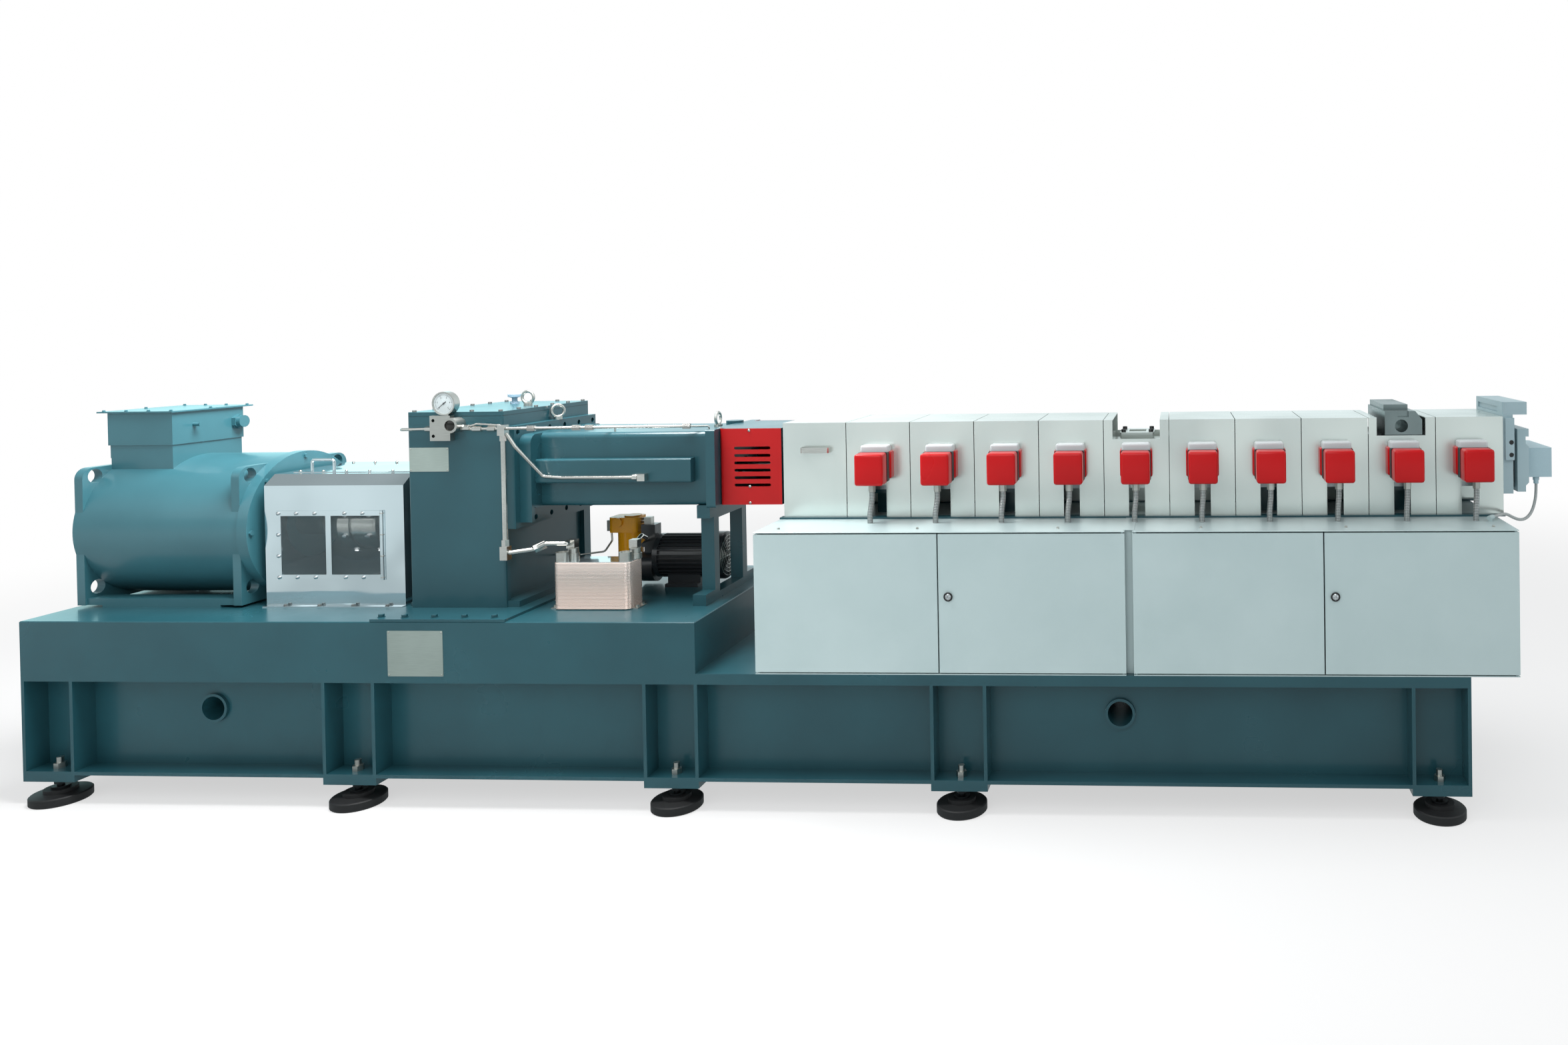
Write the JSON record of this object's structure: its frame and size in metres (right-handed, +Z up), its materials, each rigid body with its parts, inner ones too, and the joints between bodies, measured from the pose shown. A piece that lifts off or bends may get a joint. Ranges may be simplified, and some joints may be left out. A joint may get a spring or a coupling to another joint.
{
  "type": "twin screw extruder",
  "caption": "Twin screw plastic extruder line: drive motor, guarded coupling, gearbox with oil cooling set, heated barrels under steel covers, die end and cabinets on a base on levelling feet.",
  "frame": {"origin": "on the floor, at the middle of the whole machine's length and width", "axes": "+X along the machine from the motor to the die, +Y to the back, +Z up"},
  "size_m": [6.041, 1.07, 1.601],
  "materials": {
    "teal_paint": "satin",
    "motor_teal": "satin",
    "cabinet_paint": "satin",
    "brushed_stainless": "brushed",
    "heater_red": "satin",
    "lantern_red": "satin",
    "dark_plate": "matte",
    "machined_steel": "machined",
    "die_steel": "satin",
    "zinc_steel": "satin",
    "grey_box": "satin",
    "rubber": "matte",
    "copper": "brushed",
    "black_paint": "satin",
    "black_cable": "satin",
    "amber": "gloss",
    "clear_pane": "clear",
    "breather_plastic": "matte"
  },
  "bodies": {
    "machine": {"barrel_covers": "brushed_stainless", "barrel_posts": "teal_paint", "barrels": "machined_steel", "base_cross_members": "teal_paint", "base_side_beams": "teal_paint", "cabinet_left": "cabinet_paint", "cabinet_right": "cabinet_paint", "coupling_guard": "brushed_stainless", "cover_handle": "machined_steel", "cover_rails": "teal_paint", "die_adapter": "die_steel", "die_body": "dark_plate", "die_cable": "black_cable", "die_plate": "die_steel", "distribution_housing": "teal_paint", "drive_plinth": "teal_paint", "exchanger_plates": "copper", "exchanger_ports": "zinc_steel", "feed_barrel": "machined_steel", "feed_cover": "brushed_stainless", "feed_flange": "machined_steel", "filter_fittings": "zinc_steel", "gearbox_breather": "breather_plastic", "gearbox_housing": "teal_paint", "gearbox_neck": "teal_paint", "gearbox_sole_plate": "teal_paint", "gearbox_stand": "teal_paint", "guard_lid": "brushed_stainless", "guard_window_frame": "brushed_stainless", "guard_window_pane": "clear_pane", "heater_boxes": "heater_red", "heater_brackets": "brushed_stainless", "heater_conduits": "zinc_steel", "heater_plates": "dark_plate", "junction_box": "grey_box", "lantern_frame": "teal_paint", "lantern_guards": "lantern_red", "levelling_studs": "zinc_steel", "lifting_eyes": "zinc_steel", "motor_body": "motor_teal", "motor_end_disc": "machined_steel", "oil_filter": "amber", "oil_manifold": "zinc_steel", "oil_pipework": "zinc_steel", "oil_pump": "black_paint", "pressure_gauge": "zinc_steel", "process_deck": "teal_paint", "pump_fan_cover": "black_paint", "pump_motor": "black_paint", "rubber_feet": "rubber", "screw_shafts": "machined_steel", "terminal_box": "motor_teal", "vent_cover": "brushed_stainless", "vent_port": "machined_steel"},
    "door_1": {"door_1": "cabinet_paint"},
    "door_2": {"door_2": "cabinet_paint"},
    "door_3": {"door_3": "cabinet_paint"},
    "door_4": {"door_4": "cabinet_paint"},
    "coupling_rotor": {"coupling_gearbox_half": "machined_steel", "coupling_motor_half": "machined_steel"}
  },
  "joints": [
    {"name": "door_1_hinge", "type": "hinge", "parent": "machine", "child": "door_1", "pos_m": [-0.0545, -0.476, 0.8], "axis": [0, 0, -1], "range_deg": [0, 105]},
    {"name": "door_2_hinge", "type": "hinge", "parent": "machine", "child": "door_2", "pos_m": [1.3285, -0.476, 0.8], "axis": [0, 0, 1], "range_deg": [0, 90]},
    {"name": "door_3_hinge", "type": "hinge", "parent": "machine", "child": "door_3", "pos_m": [1.3775, -0.476, 0.8], "axis": [0, 0, -1], "range_deg": [0, 90]},
    {"name": "door_4_hinge", "type": "hinge", "parent": "machine", "child": "door_4", "pos_m": [2.7605, -0.476, 0.8], "axis": [0, 0, 1], "range_deg": [0, 105]},
    {"name": "coupling_spin", "type": "hinge", "parent": "machine", "child": "coupling_rotor", "pos_m": [-1.9215, 0, 1.03], "axis": [1, 0, 0], "continuous": true}
  ]
}
